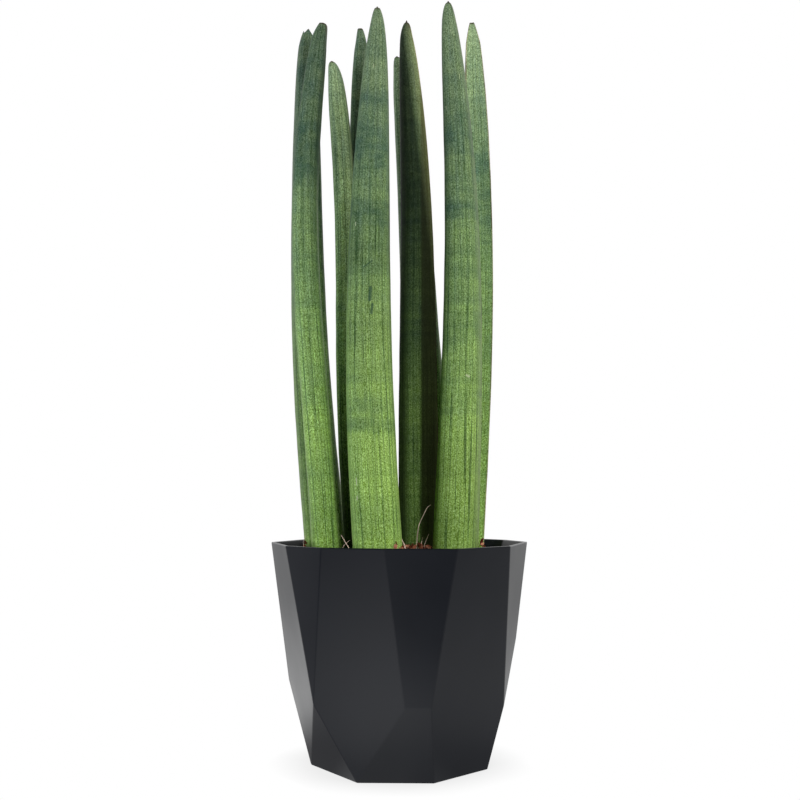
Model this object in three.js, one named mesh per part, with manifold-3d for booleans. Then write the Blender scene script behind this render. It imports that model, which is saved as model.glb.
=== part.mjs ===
// Cylindrical snake plant in a gem-cut pot: nine upright leaves, the growing medium and the pot.
// Millimetres, +Z up. The origin is the middle of the pot's flat underside, and -Y is the front.
import * as THREE from 'three';
import { ConvexGeometry } from 'three/addons/geometries/ConvexGeometry.js';
import { mergeVertices } from 'three/addons/utils/BufferGeometryUtils.js';
import Module from 'manifold-3d';

const wasm = await Module();
wasm.setup();

// ---------------------------------------------------------------- driving dimensions
const GAP = 0.3; // air left between neighbouring solids
const POCKET_GAP = 0.4; // air round a buried leaf, whose twisting sides need a little more
const OVERRUN = 1; // how far a body that cuts or trims another runs past it
const SAME_POINT = 1e-4; // corners closer than this are one

const FINISH = {
  pot: { color: '#2b2c2f', roughness: 0.55 },
  medium: { color: '#4a3325', roughness: 0.95 },
  leaf: { color: '#66834f', roughness: 0.5 },
};

// The pot is a moulding about 183 mm across its rim, cut all round into flat panels.
const RIM_HEIGHT = 151.5;
const WALL = 2.6;
const FLOOR = 3.5;

// Corners are [angle in degrees from +X, distance from the pot's axis]. Each half carries the same
// run of panels: a tall one to a foot corner, a triangle, a tall one to the next foot corner, a
// waisted pair, a tall one to a whole foot edge, and another waisted pair. Leans are in degrees
// from upright, for the upper and the lower panel of a waisted pair.
const POT_HALVES = [
  {
    rim: [[175, 92.5], [212.5, 90.5], [236, 91], [263, 88.5], [292, 96], [324, 89.5]],
    foot: [[187, 62], [243.5, 63], [290.5, 61.5]],
    footEdgeShare: 1.02, // the fourth foot edge against the rim edge that it runs parallel to
    crossingHeight: 50, // where the two tall panels meet under the triangle
    middleLean: [7.7, 19],
    endLean: [5.6, 15],
  },
  {
    rim: [[367.5, 91.5], [390, 91], [418, 91.5], [446, 90], [472, 93], [502, 91.5]],
    foot: [[380, 62], [424, 62.5], [467, 61.5]],
    footEdgeShare: 0.9,
    crossingHeight: 52,
    middleLean: [7, 19],
    endLean: [3, 26],
  },
];

// The medium is heaped between the leaves and falls away to the wall: [distance from axis, height].
const MEDIUM_TOP = [[0, 148], [30, 147], [50, 143.5], [70, 140.5], [84, 138.5], [110, 137]];
const HEAP_STEPS = 40; // facets round the heap

// Leaves. foot is where the blade leaves the medium, and tip is its highest point. bow bends it
// sideways in one curve and sway in an S. width and depth are its section at the foot, width from
// lip to lip and depth from the back to the lips. taper says how early it narrows and bluntness
// how round it ends. facing is where the channel looks at the foot, in degrees from +X, and twist
// how far it has turned by the tip.
const SOIL_LEVEL = 145;
const BURIED_SHARE = 0.11; // of the height above the medium, how much of a leaf is below it
const LEAVES = [
  {
    name: 'leaf_front_middle', foot: [-15, -42], tip: [-15.5, -46, 521.5], bow: -6.5, sway: -0.5,
    width: 33.5, depth: 26, taper: 1.95, bluntness: 0.44, facing: 92, twist: -4,
  },
  {
    name: 'leaf_front_right', foot: [36, -30], tip: [32.5, -36, 530], bow: 7.6, sway: -0.5,
    width: 30.5, depth: 25, taper: 1.1, bluntness: 0.35, facing: 80, twist: -3,
  },
  {
    name: 'leaf_front_left', foot: [-51, -20], tip: [-57, -24, 519], bow: -12, sway: 2.5,
    width: 19, depth: 16.5, taper: 3.4, bluntness: 0.25, facing: 96, twist: -14,
  },
  {
    name: 'leaf_centre', foot: [11.2, 5], tip: [2.8, 8, 535], bow: 3.4, sway: -1,
    width: 24.7, depth: 23.5, taper: 1.54, bluntness: 0.375, facing: 32, twist: 2,
  },
  {
    name: 'leaf_inner_left', foot: [-15.3, 10], tip: [-29, 14, 531], bow: -2.5, sway: 2.5,
    width: 19, depth: 16, taper: 2.4, bluntness: 0.29, facing: 86, twist: 6,
  },
  {
    name: 'leaf_rear_left', foot: [-52.3, 13], tip: [-69.8, 20, 533], bow: -6, sway: -0.7,
    width: 31, depth: 25, taper: 0.65, bluntness: 0.25, facing: 98, twist: 8,
  },
  {
    name: 'leaf_short', foot: [-31, -10], tip: [-48.6, -2, 500], bow: 1, sway: -2.2,
    width: 15, depth: 13, taper: 14, bluntness: 0.36, facing: 92, twist: -4,
  },
  {
    name: 'leaf_rear_middle', foot: [31, 34], tip: [-1.4, 44, 522], bow: -1.1, sway: -2.2,
    width: 33, depth: 24, taper: 1.2, bluntness: 0.35, facing: 88, twist: 5,
  },
  {
    name: 'leaf_rear_right', foot: [48, 6], tip: [53, 14, 535.5], bow: 6, sway: 0,
    width: 20.5, depth: 17, taper: 3.2, bluntness: 0.35, facing: -92, twist: 6,
  },
];

// Blade section: a rounded back and a channel between two lips. The channel is deepest at the foot
// and shallow towards the tip, where the lips come round a little.
const BACK_POWER = 0.7; // 1 for an elliptical back, and less for a flatter one with quicker sides
const LIP_ANGLE = { foot: 88, tip: 78 }; // degrees round the section from where the channel looks
const CHANNEL_DEPTH = { foot: 0.17, tip: 0.06 }; // against the leaf's depth
const ROUND_STEPS = 20; // points round a section
const CHANNEL_STEPS = 6; // of those, steps from lip to lip
const LENGTH_STEPS = 18;
const LAST_RING = 0.02; // how close the last ring comes to the tip, as a root of the height share

// ---------------------------------------------------------------- solids and booleans
function toSolid(geometry) {
  const bare = geometry.clone();
  bare.deleteAttribute('normal');
  bare.deleteAttribute('uv');
  const merged = mergeVertices(bare, SAME_POINT);
  return new wasm.Manifold(new wasm.Mesh({
    numProp: 3,
    vertProperties: Float32Array.from(merged.getAttribute('position').array),
    triVerts: Uint32Array.from(merged.index.array),
  }));
}

function toGeometry(solid) {
  const mesh = solid.getMesh();
  const geometry = new THREE.BufferGeometry();
  geometry.setAttribute('position', new THREE.BufferAttribute(Float32Array.from(mesh.vertProperties), 3));
  geometry.setIndex(new THREE.BufferAttribute(Uint32Array.from(mesh.triVerts), 1));
  return geometry;
}

function finished(name, geometry, finish) {
  const material = new THREE.MeshStandardMaterial({ ...finish, metalness: 0 });
  const mesh = new THREE.Mesh(geometry, material);
  mesh.name = name;
  return mesh;
}

// ---------------------------------------------------------------- the pot
const corner = ([degrees, radius], inset, height) => {
  const angle = THREE.MathUtils.degToRad(degrees);
  return new THREE.Vector3(
    (radius - inset) * Math.cos(angle),
    (radius - inset) * Math.sin(angle),
    height,
  );
};

const panelThrough = (a, b, c) => new THREE.Plane().setFromCoplanarPoints(a, b, c);

const levelAt = (height) => new THREE.Plane(new THREE.Vector3(0, 0, 1), -height);

// A panel that holds the edge from a to b, counterclockwise seen from above, and leans outwards
// as it rises.
function panelLeaning(a, b, degrees) {
  const lean = THREE.MathUtils.degToRad(degrees);
  const outward = b.clone().sub(a).cross(new THREE.Vector3(0, 0, 1)).normalize();
  const normal = outward.multiplyScalar(Math.cos(lean));
  normal.z = -Math.sin(lean);
  return new THREE.Plane().setFromNormalAndCoplanarPoint(normal, a);
}

// The point that three panels share.
function meetingPoint(p, q, r) {
  const qr = new THREE.Vector3().crossVectors(q.normal, r.normal);
  const rp = new THREE.Vector3().crossVectors(r.normal, p.normal);
  const pq = new THREE.Vector3().crossVectors(p.normal, q.normal);
  const scale = -1 / p.normal.dot(qr);
  return qr.multiplyScalar(p.constant)
    .add(rp.multiplyScalar(q.constant))
    .add(pq.multiplyScalar(r.constant))
    .multiplyScalar(scale);
}

// The corners of one half: on the rim, on the foot, and those at the waist, which follow from the
// panels so that every panel is flat. next is the other half, whose first corners close this one.
function halfCorners(half, next, inset, floorHeight, rimHeight) {
  const ownRim = half.rim.map((c) => corner(c, inset, rimHeight));
  const rim = [...ownRim, corner(next.rim[0], inset, rimHeight)];
  const foot = half.foot.map((c) => corner(c, inset, floorHeight));
  const fourth = rim[5].clone().sub(rim[4]).multiplyScalar(half.footEdgeShare).add(foot[2]);
  const nextFoot = corner(next.foot[0], inset, floorHeight);

  const first = panelThrough(rim[0], rim[1], foot[0]);
  const second = panelThrough(rim[2], rim[3], foot[1]);
  const third = panelThrough(rim[4], rim[5], foot[2]);
  const middleUpper = panelLeaning(rim[3], rim[4], half.middleLean[0]);
  const middleLower = panelLeaning(foot[1], foot[2], half.middleLean[1]);
  const endUpper = panelLeaning(rim[5], rim[6], half.endLean[0]);
  const endLower = panelLeaning(fourth, nextFoot, half.endLean[1]);
  const nextFirst = panelThrough(rim[6], corner(next.rim[1], inset, rimHeight), nextFoot);

  const waist = [
    meetingPoint(first, second, levelAt(half.crossingHeight)),
    meetingPoint(second, middleUpper, middleLower),
    meetingPoint(third, middleUpper, middleLower),
    meetingPoint(third, endUpper, endLower),
    meetingPoint(nextFirst, endUpper, endLower),
  ];
  return [...ownRim, ...foot, fourth, ...waist];
}

function gemCutBody(inset, floorHeight, rimHeight) {
  const [front, back] = POT_HALVES;
  return toSolid(new ConvexGeometry([
    ...halfCorners(front, back, inset, floorHeight, rimHeight),
    ...halfCorners(back, front, inset, floorHeight, rimHeight),
  ]));
}

function pot() {
  const outside = gemCutBody(0, 0, RIM_HEIGHT);
  const inside = gemCutBody(WALL, FLOOR, RIM_HEIGHT + OVERRUN);
  return finished('pot', toGeometry(outside.subtract(inside)), FINISH.pot);
}

// ---------------------------------------------------------------- leaves
const blend = (ends, share) => THREE.MathUtils.lerp(ends.foot, ends.tip, share);

// The middle of the blade at a share of its height above the medium.
function spinePoint(leaf, share) {
  const bend = leaf.bow * Math.sin(Math.PI * share) + leaf.sway * Math.sin(2 * Math.PI * share);
  return new THREE.Vector3(
    THREE.MathUtils.lerp(leaf.foot[0], leaf.tip[0], share) + bend,
    THREE.MathUtils.lerp(leaf.foot[1], leaf.tip[1], share),
    THREE.MathUtils.lerp(SOIL_LEVEL, leaf.tip[2], share),
  );
}

const flattened = (value) => Math.sign(value) * Math.abs(value) ** BACK_POWER;

// The blade's outline at a share of its height, as [distance across the blade, distance towards
// the channel]. It starts at one lip, crosses the channel to the other and comes round the back.
function sectionOutline(leaf, share) {
  const above = Math.max(share, 0);
  const size = (1 - above ** leaf.taper) ** leaf.bluntness;
  const halfWidth = (leaf.width / 2) * size;
  const depth = leaf.depth * size;
  const lip = THREE.MathUtils.degToRad(blend(LIP_ANGLE, above));
  const backReach = depth / (1 + Math.cos(lip) ** BACK_POWER);
  const dip = blend(CHANNEL_DEPTH, above) * depth;
  const outline = [];
  for (let i = 0; i < ROUND_STEPS; i += 1) {
    if (i < CHANNEL_STEPS) {
      const across = (2 * i) / CHANNEL_STEPS - 1;
      const depthHere = dip * Math.cos((Math.PI / 2) * across);
      outline.push([halfWidth * flattened(Math.sin(lip)) * across, depth / 2 - depthHere]);
    } else {
      const past = (i - CHANNEL_STEPS) / (ROUND_STEPS - CHANNEL_STEPS);
      const angle = THREE.MathUtils.lerp(lip, 2 * Math.PI - lip, past);
      const towards = backReach * flattened(Math.cos(angle)) + backReach - depth / 2;
      outline.push([halfWidth * flattened(Math.sin(angle)), towards]);
    }
  }
  return outline;
}

// The same outline moved outwards by a distance, each corner along the bisector of its two sides.
function grownOutline(outline, distance) {
  const points = outline.map(([x, y]) => new THREE.Vector2(x, y));
  const sideNormal = (a, b) => new THREE.Vector2(a.y - b.y, b.x - a.x).normalize();
  return points.map((point, i) => {
    const before = points.at(i - 1);
    const after = points[(i + 1) % points.length];
    const into = sideNormal(before, point);
    const bisector = into.clone().add(sideNormal(point, after)).normalize();
    const moved = point.clone().addScaledVector(bisector, distance / bisector.dot(into));
    return [moved.x, moved.y];
  });
}

// A closed cylinder whose rings are moved onto the blade's sections. The rings crowd towards the
// tip, where the blade narrows fastest. grow makes it larger all round and at its buried end.
function bladeGeometry(leaf, grow = 0) {
  const geometry = new THREE.CylinderGeometry(1, 1, 1, ROUND_STEPS, LENGTH_STEPS);
  const position = geometry.getAttribute('position');
  const first = Math.sqrt(1 + BURIED_SHARE);
  for (let i = 0; i < position.count; i += 1) {
    const along = position.getY(i) + 0.5;
    const share = 1 - THREE.MathUtils.lerp(first, LAST_RING, along) ** 2;
    const point = spinePoint(leaf, share);
    const isCapCentre = position.getX(i) === 0 && position.getZ(i) === 0;
    if (!isCapCentre) {
      const turn = Math.atan2(position.getX(i), position.getZ(i)) / (2 * Math.PI);
      const step = Math.round((turn + 1) * ROUND_STEPS) % ROUND_STEPS;
      const [across, towards] = grownOutline(sectionOutline(leaf, share), grow)[step];
      const facing = THREE.MathUtils.degToRad(leaf.facing + leaf.twist * share);
      const channelWay = new THREE.Vector3(Math.cos(facing), Math.sin(facing), 0);
      const acrossWay = new THREE.Vector3(Math.sin(facing), -Math.cos(facing), 0);
      point.addScaledVector(acrossWay, across).addScaledVector(channelWay, towards);
    }
    const drop = along === 0 ? grow : 0;
    position.setXYZ(i, point.x, point.y, point.z - drop);
  }
  return geometry;
}

function outwardSolid(geometry) {
  const solid = toSolid(geometry);
  if (solid.volume() > 0) return solid;
  const turned = geometry.clone();
  turned.index.array.reverse();
  return toSolid(turned);
}

function leafMesh(leaf) {
  return finished(leaf.name, toGeometry(outwardSolid(bladeGeometry(leaf))), FINISH.leaf);
}

// ---------------------------------------------------------------- the growing medium
function growingMedium() {
  const [reach] = MEDIUM_TOP.at(-1);
  const profile = [[0, -OVERRUN], [reach, -OVERRUN], ...MEDIUM_TOP.toReversed()]
    .map(([r, z]) => new THREE.Vector2(r, z));
  const heap = outwardSolid(new THREE.LatheGeometry(profile, HEAP_STEPS).rotateX(Math.PI / 2));
  const cavity = gemCutBody(WALL + GAP, FLOOR + GAP, RIM_HEIGHT + OVERRUN);
  let medium = cavity.intersect(heap);
  for (const leaf of LEAVES) {
    medium = medium.subtract(outwardSolid(bladeGeometry(leaf, POCKET_GAP)));
  }
  return finished('growing_medium', toGeometry(medium), FINISH.medium);
}

// ---------------------------------------------------------------- assembly
const plant = new THREE.Group();
plant.add(pot());
plant.add(growingMedium());
for (const leaf of LEAVES) plant.add(leafMesh(leaf));

export default plant;
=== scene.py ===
# Looks of a cylindrical snake plant in a gem-cut pot: leaf blades with their bands, lines and dry
# ends, the coconut-fibre growing medium, and the moulded pot. Metres, +Z up, in the CAD frame.
# Shape values are written in millimetres and turned to metres as the meshes are made.
import math
import random

import bmesh
import bpy
from mathutils import Euler, Matrix, Vector, noise
from mathutils.bvhtree import BVHTree


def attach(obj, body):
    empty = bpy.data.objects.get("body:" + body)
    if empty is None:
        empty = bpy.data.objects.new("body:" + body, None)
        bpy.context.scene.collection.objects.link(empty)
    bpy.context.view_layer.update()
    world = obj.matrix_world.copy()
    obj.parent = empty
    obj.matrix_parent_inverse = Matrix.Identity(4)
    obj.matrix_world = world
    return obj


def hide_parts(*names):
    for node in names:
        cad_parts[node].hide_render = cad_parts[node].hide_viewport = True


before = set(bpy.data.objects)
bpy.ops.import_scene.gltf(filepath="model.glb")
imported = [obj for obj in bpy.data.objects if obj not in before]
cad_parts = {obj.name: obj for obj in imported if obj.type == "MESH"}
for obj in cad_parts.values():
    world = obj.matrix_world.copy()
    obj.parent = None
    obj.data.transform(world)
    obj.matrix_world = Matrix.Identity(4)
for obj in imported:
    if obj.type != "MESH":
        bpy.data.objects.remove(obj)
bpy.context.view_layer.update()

MM = 0.001
MERGE_DISTANCE = 0.01  # points closer than this are one

# ------------------------------------------------------------------ leaves: shape
# Each leaf's keys. As in the CAD:
#   foot, tip         where the blade leaves the medium, and its highest point
#   bow, sway         how far it bends to the right in one curve, and in an S
#   width, depth      its section at the foot
#   taper, bluntness  how late it starts to narrow, and how quickly it closes at the end
#   facing, twist     where the channel looks at the foot, in degrees from +X, and how far it has
#                     turned by the tip
# For the looks alone, with heights above the medium:
#   end       ("point", length, radius) for a dry point, and ("cut", slope, past) for a blunt dry
#             end that falls by slope degrees to the right, past being how much longer the blade
#             would have grown
#   shoulder  how far the body closes above where the dry point starts
#   lean      how far the last of the tip is moved to the right
#   slim      how much of its width the last of the tip loses
#   points    [to the right of the tip, below it, slope on the left, slope on the right] of each of
#             the points that the end has
#   tones_and_shade  [height, how light the skin is, partly its own tone and partly painted light
#                    and shade], read as one smooth line from foot to tip
#   bands     [height, strength of the dark cross bands from 0 to 1], read in the same way
#   sides  light and shade painted on its two sides, as darkened_sides says
#   brown_and_shaded_lip  the right margin's colour, partly its own brown and partly painted shade
#   marks     [kind, start, end, radius], each place being [round the back from its middle, height]
SOIL_LEVEL = 145
BURIED_SHARE = 0.11  # how much of the blade's height goes on below the medium
LEAVES = [
    dict(name="leaf_front_middle", foot=(-15, -42), tip=(-15.5, -46, 521.5), bow=-6.5, sway=-0.5,
         width=33.5, depth=26, taper=1.95, bluntness=0.44, facing=92, twist=-4,
         # Its right lip is brown, partly its own colour and partly painted shade.
         end=("point", 1.4, 0.8), shoulder=1.2, lean=-0.7, brown_and_shaded_lip="#4a3424",
         tones_and_shade=[(0, 1.15), (105, 1.15), (150, 0.95), (175, 1.06), (188, 1.02), (200, 0.85),
                (214, 0.97), (260, 1.12), (390, 1.1)],
         bands=[(0, 0.1), (30, 0.25), (48, 0.05), (80, 0.0), (83, 0.6), (100, 0.5), (108, 0.15),
                (116, 0.3), (130, 0.1), (176, 0.1), (184, 0.4), (205, 0.4), (217, 0.5),
                (221, 0.8), (236, 0.75), (240, 0.4), (257, 0.45), (261, 0.85), (290, 0.85),
                (294, 0.4), (303, 0.8), (314, 0.7), (320, 0.2), (345, 0.35), (376, 0.2)],
         marks=[("scar", (2.0, 178), (1.2, 170), 1.5), ("scar", (3.2, 167), (2.4, 161), 1.2),
                ("scar", (-3.6, 192), (3.2, 196.5), 0.5), ("fleck", (-1.5, 333), (-1.2, 331), 0.7),
                ("fleck", (-11.4, 223), (-11.4, 221), 0.6), ("fleck", (-12.2, 51), (-12.2, 47), 0.6),
                ("fleck", (-12.5, 39), (-12.5, 37), 0.6)]),
    dict(name="leaf_front_right", foot=(36, -30), tip=(32.5, -36, 530), bow=7.6, sway=-0.5,
         width=30.5, depth=25, taper=1.1, bluntness=0.35, facing=80, twist=-3,
         end=("point", 1.2, 0.7), lean=0.9,
         tones_and_shade=[(0, 0.88), (60, 0.9), (85, 1.1), (120, 1.13), (390, 1.15)],
         bands=[(0, 0.1), (40, 0.0), (90, 0.1), (95, 0.45), (120, 0.4), (130, 0.25), (150, 0.45),
                (170, 0.3), (190, 0.4), (215, 0.3), (227, 0.35), (231, 0.75), (243, 0.7), (248, 0.45),
                (272, 0.5), (278, 0.75), (300, 0.7), (310, 0.5), (350, 0.3), (385, 0.2)],
         marks=[("fleck", (6.6, 120.6), (8.6, 119.6), 0.9), ("fleck", (10.4, 330), (10.6, 327), 0.6),
                ("fleck", (3.5, 362), (3.5, 361), 0.5), ("fleck", (-9.5, 308), (-9.5, 306), 0.6)]),
    dict(name="leaf_front_left", foot=(-51, -20), tip=(-57, -24, 519), bow=-12, sway=2.5,
         width=19, depth=16.5, taper=3.4, bluntness=0.28, facing=96, twist=-14,
         # Its right lip is painted near black, as the shade it stands in.
         end=("cut", 9, 0.9), lean=1.7, points=[(-0.35, 0, 1.74, 0.29)], brown_and_shaded_lip="#1c1a12",
         tones_and_shade=[(0, 1.35), (80, 1.35), (120, 1.5), (150, 1.52), (205, 1.4), (240, 1.3), (280, 1),
                (390, 0.95)],
         bands=[(0, 0.1), (50, 0.35), (62, 0.35), (74, 0.1), (96, 0.1), (104, 0.35), (125, 0.3),
                (140, 0.2), (178, 0.3), (200, 0.45), (214, 0.3), (254, 0.35),
                (261, 0.85), (297, 0.9), (303, 0.7), (330, 0.75), (374, 0.6)]),
    # The centre leaf has painted shade on its left and painted light on its right.
    dict(name="leaf_centre", foot=(11.2, 5), tip=(2.8, 8, 535), bow=3.4, sway=-1,
         width=24.7, depth=23.5, taper=1.54, bluntness=0.375, facing=32, twist=2,
         end=("point", 1.6, 0.6), lean=1.7, tones_and_shade=[(0, 1), (390, 1)], sides=True,
         bands=[(0, 0.2), (60, 0.4), (120, 0.3), (150, 0.7), (200, 0.5), (240, 0.8), (300, 0.6),
                (340, 0.4), (390, 0.3)]),
    dict(name="leaf_inner_left", foot=(-15.3, 10), tip=(-29, 14, 531), bow=-2.5, sway=2.5,
         width=19, depth=16, taper=2.4, bluntness=0.29, facing=86, twist=6,
         end=("cut", 0, 1.2), lean=-1.1, slim=0.2,
         # Painted shade in its middle, where the short leaf and the front middle leaf shade it.
         tones_and_shade=[(0, 0.28), (215, 0.1), (275, 0.1), (325, 0.7), (380, 1.25)],
         bands=[(0, 0.2), (120, 0.5), (220, 0.4), (290, 0.7), (330, 0.6), (380, 0.6)]),
    dict(name="leaf_rear_left", foot=(-52.3, 13), tip=(-69.8, 20, 533), bow=-6, sway=-0.7,
         width=31, depth=25, taper=0.65, bluntness=0.25, facing=98, twist=8,
         end=("cut", -8, 0.3), points=[(0.8, 0, 1.6, 1.67), (-2.8, 1.9, 2.5, 3.6)],
         tones_and_shade=[(0, 1), (390, 1)],
         bands=[(0, 0.2), (80, 0.5), (150, 0.3), (240, 0.8), (320, 0.7), (388, 0.8)]),
    dict(name="leaf_short", foot=(-31, -10), tip=(-48.6, -2, 500), bow=1, sway=-2.2,
         width=15, depth=13, taper=14, bluntness=0.36, facing=92, twist=-4,
         end=("point", 0.6, 1.2), lean=-1.6,
         # Painted shade low down, where it stands between the front leaves; its own paler green higher up.
         tones_and_shade=[(0, 0.12), (60, 0.5), (95, 1.1), (150, 2), (255, 2), (280, 1.5), (300, 1.38), (355, 1.25)],
         bands=[(0, 0.2), (100, 0.4), (150, 0.7), (180, 0.3), (215, 0.3), (240, 0.2), (258, 0.15),
                (290, 0.15), (355, 0.0)]),
    dict(name="leaf_rear_middle", foot=(31, 34), tip=(-1.4, 44, 522), bow=-1.1, sway=-2.2,
         width=33, depth=24, taper=1.2, bluntness=0.35, facing=88, twist=5,
         end=("point", 0.6, 0.9), lean=-1.5, tones_and_shade=[(0, 0.8), (320, 1.2), (380, 1.6)],
         bands=[(0, 0.3), (150, 0.6), (250, 0.4), (320, 0.2), (377, 0.1)]),
    dict(name="leaf_rear_right", foot=(48, 6), tip=(53, 14, 535.5), bow=6, sway=0,
         width=20.5, depth=17, taper=3.2, bluntness=0.35, facing=-92, twist=6,
         end=("cut", -9, 1.2), slim=0.32,
         # Its tones are partly its own paler green and partly painted light.
         tones_and_shade=[(0, 1.75), (30, 1.65), (60, 1.4), (250, 1.35), (390, 1.75)],
         bands=[(0, 0.1), (90, 0.3), (130, 0.5), (180, 0.3), (250, 0.6), (280, 0.8), (310, 0.4),
                (350, 0.2), (390, 0.1)]),
]

BACK_POWER = 0.7  # 1 for an elliptical back, and less for a flatter one with quicker sides
LIP_ANGLE = (88, 78)  # degrees round the section from where the channel looks, at foot and tip
CHANNEL_DEPTH = (0.17, 0.06)  # against the leaf's depth, at foot and tip
CHANNEL_STEPS = 26
BACK_STEPS = 74
LENGTH_STEPS = 230
LIP_CROWDING = 0.6  # how strongly the columns on the back crowd towards the lips
LIP_BEAD = 0.2  # how far the hard margin stands out
LIP_WIDTH = 0.6  # half of the hard margin's width
WAVES = 0.22  # slow unevenness of the blade's surface
WAVE_LENGTH = 22
LEAST_SHRINK = 0.05  # the skin's pattern narrows with the blade down to this share
TIP_LENGTH = 16  # how much of the tip leans or is slimmer
EDGE_WIDTH = 0.4  # how far in from its widest the blade's outline is dry and dark near the tip
EDGE_LENGTH = 12  # and how far down from the tip that reaches
CUT_BELOW = 0.4  # how far under the tip a blunt end is cut
DRY_DEPTH = 1.6  # how far down the skin has dried from a blunt end
DRY_POINT_SHARE = 1.5  # and how much further from a dry point, against its length


def between(ends, share):
    return ends[0] + (ends[1] - ends[0]) * share


def clamped(value):
    return min(max(value, 0), 1)


def close_ends(bm):
    """Fills what is open and turns every face outwards."""
    open_edges = [edge for edge in bm.edges if edge.is_boundary]
    bmesh.ops.holes_fill(bm, edges=open_edges)
    bmesh.ops.recalc_face_normals(bm, faces=bm.faces)


def grown_height(leaf):
    return leaf["tip"][2] - SOIL_LEVEL


def spine_point(leaf, share):
    """The middle of the blade at a share of its height above the medium."""
    bend = leaf["bow"] * math.sin(math.pi * share) + leaf["sway"] * math.sin(2 * math.pi * share)
    return Vector((
        between((leaf["foot"][0], leaf["tip"][0]), share) + bend,
        between((leaf["foot"][1], leaf["tip"][1]), share),
        between((SOIL_LEVEL, leaf["tip"][2]), share),
    ))


def blade_size(leaf, share):
    """How much of its foot's section the blade has left, and its least radius there."""
    height = grown_height(leaf)
    kind, first, second = leaf["end"]
    least = 0
    if kind == "cut":
        body_end = 1 + second / height
    else:
        body_end = 1 - (first - leaf.get("shoulder", 0)) / height
        least = second * math.sqrt(clamped((1 - share) * height / first))
        if share > 1 - first / height:
            return 0, least
    along = clamped(share / body_end)
    return (1 - along ** leaf["taper"]) ** leaf["bluntness"], least


def flattened(value):
    return math.copysign(abs(value) ** BACK_POWER, value)


def back_point(angle):
    """The unit back's outline in a direction, 0 being where the channel looks."""
    power = 2 / BACK_POWER
    reach = (abs(math.sin(angle)) ** power + abs(math.cos(angle)) ** power) ** (-1 / power)
    return reach * math.sin(angle), reach * math.cos(angle)


def blade_ring(leaf, share):
    """One section's points, each [across the blade, towards the channel], and for each the
    distance round the back from its middle, which runs from lip to lip in the channel too."""
    size, least = blade_size(leaf, share)
    above = clamped(share)
    half_width = max(leaf["width"] / 2 * size, least)
    depth = max(leaf["depth"] * size, 2 * least)
    lip = math.radians(between(LIP_ANGLE, above))
    lip_across, lip_towards = flattened(math.sin(lip)), flattened(math.cos(lip))
    back_reach = depth / (1 + lip_towards)
    dip = between(CHANNEL_DEPTH, above) * leaf["depth"] * size
    ring = []
    for i in range(CHANNEL_STEPS):
        across = -math.cos(math.pi * i / CHANNEL_STEPS)
        ring.append(Vector((half_width * lip_across * across,
                            depth / 2 - dip * math.cos(math.pi / 2 * across))))
    first_angle = math.atan2(lip_across, lip_towards)
    for i in range(BACK_STEPS):
        turn = i / BACK_STEPS
        eased = turn - LIP_CROWDING * math.sin(2 * math.pi * turn) / (2 * math.pi)
        x, y = back_point(first_angle + (2 * math.pi - 2 * first_angle) * eased)
        ring.append(Vector((half_width * x, back_reach * (y + 1) - depth / 2)))
    passed = [0]
    back = ring[CHANNEL_STEPS:] + ring[:1]
    for before, after in zip(back, back[1:]):
        passed.append(passed[-1] + (after - before).length)
    half_round = passed[-1] / 2
    around = [-half_round * math.cos(math.pi * i / CHANNEL_STEPS) for i in range(CHANNEL_STEPS)]
    around += [half_round - distance for distance in passed[:-1]]
    return ring, around


def grow_blade(leaf):
    """A blade as one closed mesh. Its blade attribute holds each point's distance round the back,
    its depth and its height at the foot's scale, so what follows the fibres narrows with them. lip,
    edge and dry say how much of each a point is."""
    bm = bmesh.new()
    fibre = bm.verts.layers.float_vector.new("blade")
    lip_layer = bm.verts.layers.float.new("lip")
    edge_layer = bm.verts.layers.float.new("edge")
    dry_layer = bm.verts.layers.float.new("dry")
    columns = CHANNEL_STEPS + BACK_STEPS
    bmesh.ops.create_grid(bm, x_segments=columns, y_segments=LENGTH_STEPS, size=0.5)
    first = math.sqrt(1 + BURIED_SHARE)
    height = grown_height(leaf)
    shares = [1 - (first * (1 - row / LENGTH_STEPS)) ** 2 for row in range(LENGTH_STEPS + 1)]
    rings = [blade_ring(leaf, share) for share in shares]
    seed = Vector((*leaf["foot"], 0))
    for vert in bm.verts:
        column = round((vert.co.x + 0.5) * columns) % columns
        row = round((vert.co.y + 0.5) * LENGTH_STEPS)
        share = shares[row]
        ring, around = rings[row]
        place = ring[column].copy()
        size = max(blade_size(leaf, share)[0], LEAST_SHRINK)
        from_lip = min((place - ring[0]).length, (place - ring[CHANNEL_STEPS]).length)
        vert[fibre] = Vector((around[column] / size, place.y / size, share * height))
        vert[lip_layer] = math.exp(-((from_lip / LIP_WIDTH) ** 4))
        inwards = max(corner.x for corner in ring) - abs(place.x)
        to_top = height * (1 - share) / EDGE_LENGTH
        vert[edge_layer] = clamped(1.5 - inwards / EDGE_WIDTH) * clamped(1 - to_top)
        outwards = place.normalized()
        unevenness = noise.noise(Vector((*place, share * height)) / WAVE_LENGTH + seed)
        bead = LIP_BEAD * math.exp(-((from_lip / LIP_WIDTH) ** 2))
        place += outwards * size * (bead + WAVES * unevenness)
        facing = math.radians(leaf["facing"] + leaf["twist"] * share)
        point = spine_point(leaf, share)
        point.x += place.x * math.sin(facing) + place.y * math.cos(facing)
        point.y += -place.x * math.cos(facing) + place.y * math.sin(facing)
        vert.co = shaped_tip(leaf, point) * MM
    bmesh.ops.remove_doubles(bm, verts=bm.verts, dist=MERGE_DISTANCE * MM)
    end_blade(bm, leaf, dry_layer)
    close_ends(bm)
    return bm


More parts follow.
